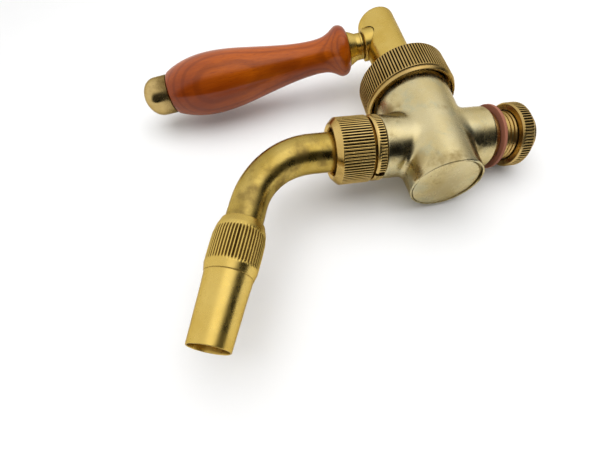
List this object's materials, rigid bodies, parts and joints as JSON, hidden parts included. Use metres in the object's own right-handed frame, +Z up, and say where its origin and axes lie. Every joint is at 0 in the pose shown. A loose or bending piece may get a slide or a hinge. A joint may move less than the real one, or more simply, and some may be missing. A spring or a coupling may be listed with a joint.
{
  "type": "beer tap",
  "caption": "Side-pull beer tap in antique brass: tapered valve body with knurled cap nut, turned wooden side handle, knurled union nut, bent swivelling spout and fluted tapered nozzle.",
  "frame": {"origin": "centre of the valve body's flat closed bottom, on the spindle axis", "axes": "+Z up along the spindle, -Y out along the outlet branch, +Y along the inlet; 24 mm above the origin the flow axis crosses the spindle axis; rest is the closed tap"},
  "size_m": [0.0609, 0.1837, 0.171],
  "materials": {
    "body_brass": "satin, lightly aged champagne brass",
    "knurled_brass": "knurled, browned antique brass",
    "bright_brass": "satin yellow brass",
    "tube_brass": "polished olive-gold brass",
    "steel": "turned stainless steel",
    "turned_wood": "semi-gloss reddish hardwood",
    "rubber": "black nitrile rubber",
    "seal_plastic": "white PTFE",
    "fibre": "red vulcanised fibre"
  },
  "bodies": {
    "valve": {"valve_body": "body_brass", "seat_front": "seal_plastic", "seat_rear": "seal_plastic", "thrust_washer": "seal_plastic", "stem_packing": "seal_plastic", "gland_bush": "body_brass", "cap_nut": "knurled_brass", "stop_pin": "steel", "outlet_tailpiece": "body_brass", "tailpiece_o_ring": "rubber", "lock_ring": "knurled_brass", "spout_washer": "rubber", "inlet_shank": "knurled_brass", "inlet_o_ring": "rubber", "mounting_washer": "fibre", "mounting_nut": "knurled_brass"},
    "handle": {"spindle": "bright_brass", "valve_ball": "steel", "stem_o_ring_lower": "rubber", "stem_o_ring_upper": "rubber", "handle_ferrule": "bright_brass", "handle_stud": "steel", "wood_grip": "turned_wood", "handle_end_cap": "bright_brass"},
    "union": {"union_nut": "knurled_brass"},
    "spout": {"spout_collar": "tube_brass", "spout_tube": "tube_brass"},
    "nozzle": {"nozzle": "bright_brass", "nozzle_gasket": "rubber", "flow_screen": "steel"}
  },
  "joints": [
    {"name": "handle_turn", "type": "hinge", "parent": "valve", "child": "handle", "pos_m": [0, 0, 0.099], "axis": [0, 0, 1], "range_deg": [0, 90]},
    {"name": "union_nut_turn", "type": "hinge", "parent": "valve", "child": "union", "pos_m": [0, -0.039, 0.024], "axis": [0, -1, 0], "range_deg": [0, 90]},
    {"name": "spout_swivel", "type": "hinge", "parent": "valve", "child": "spout", "pos_m": [0, -0.04, 0.024], "axis": [0, -1, 0], "range_deg": [0, 90]},
    {"name": "nozzle_turn", "type": "hinge", "parent": "spout", "child": "nozzle", "pos_m": [0, -0.08626, 0.00133], "axis": [0, -0.338, -0.9411], "range_deg": [0, 90]}
  ]
}
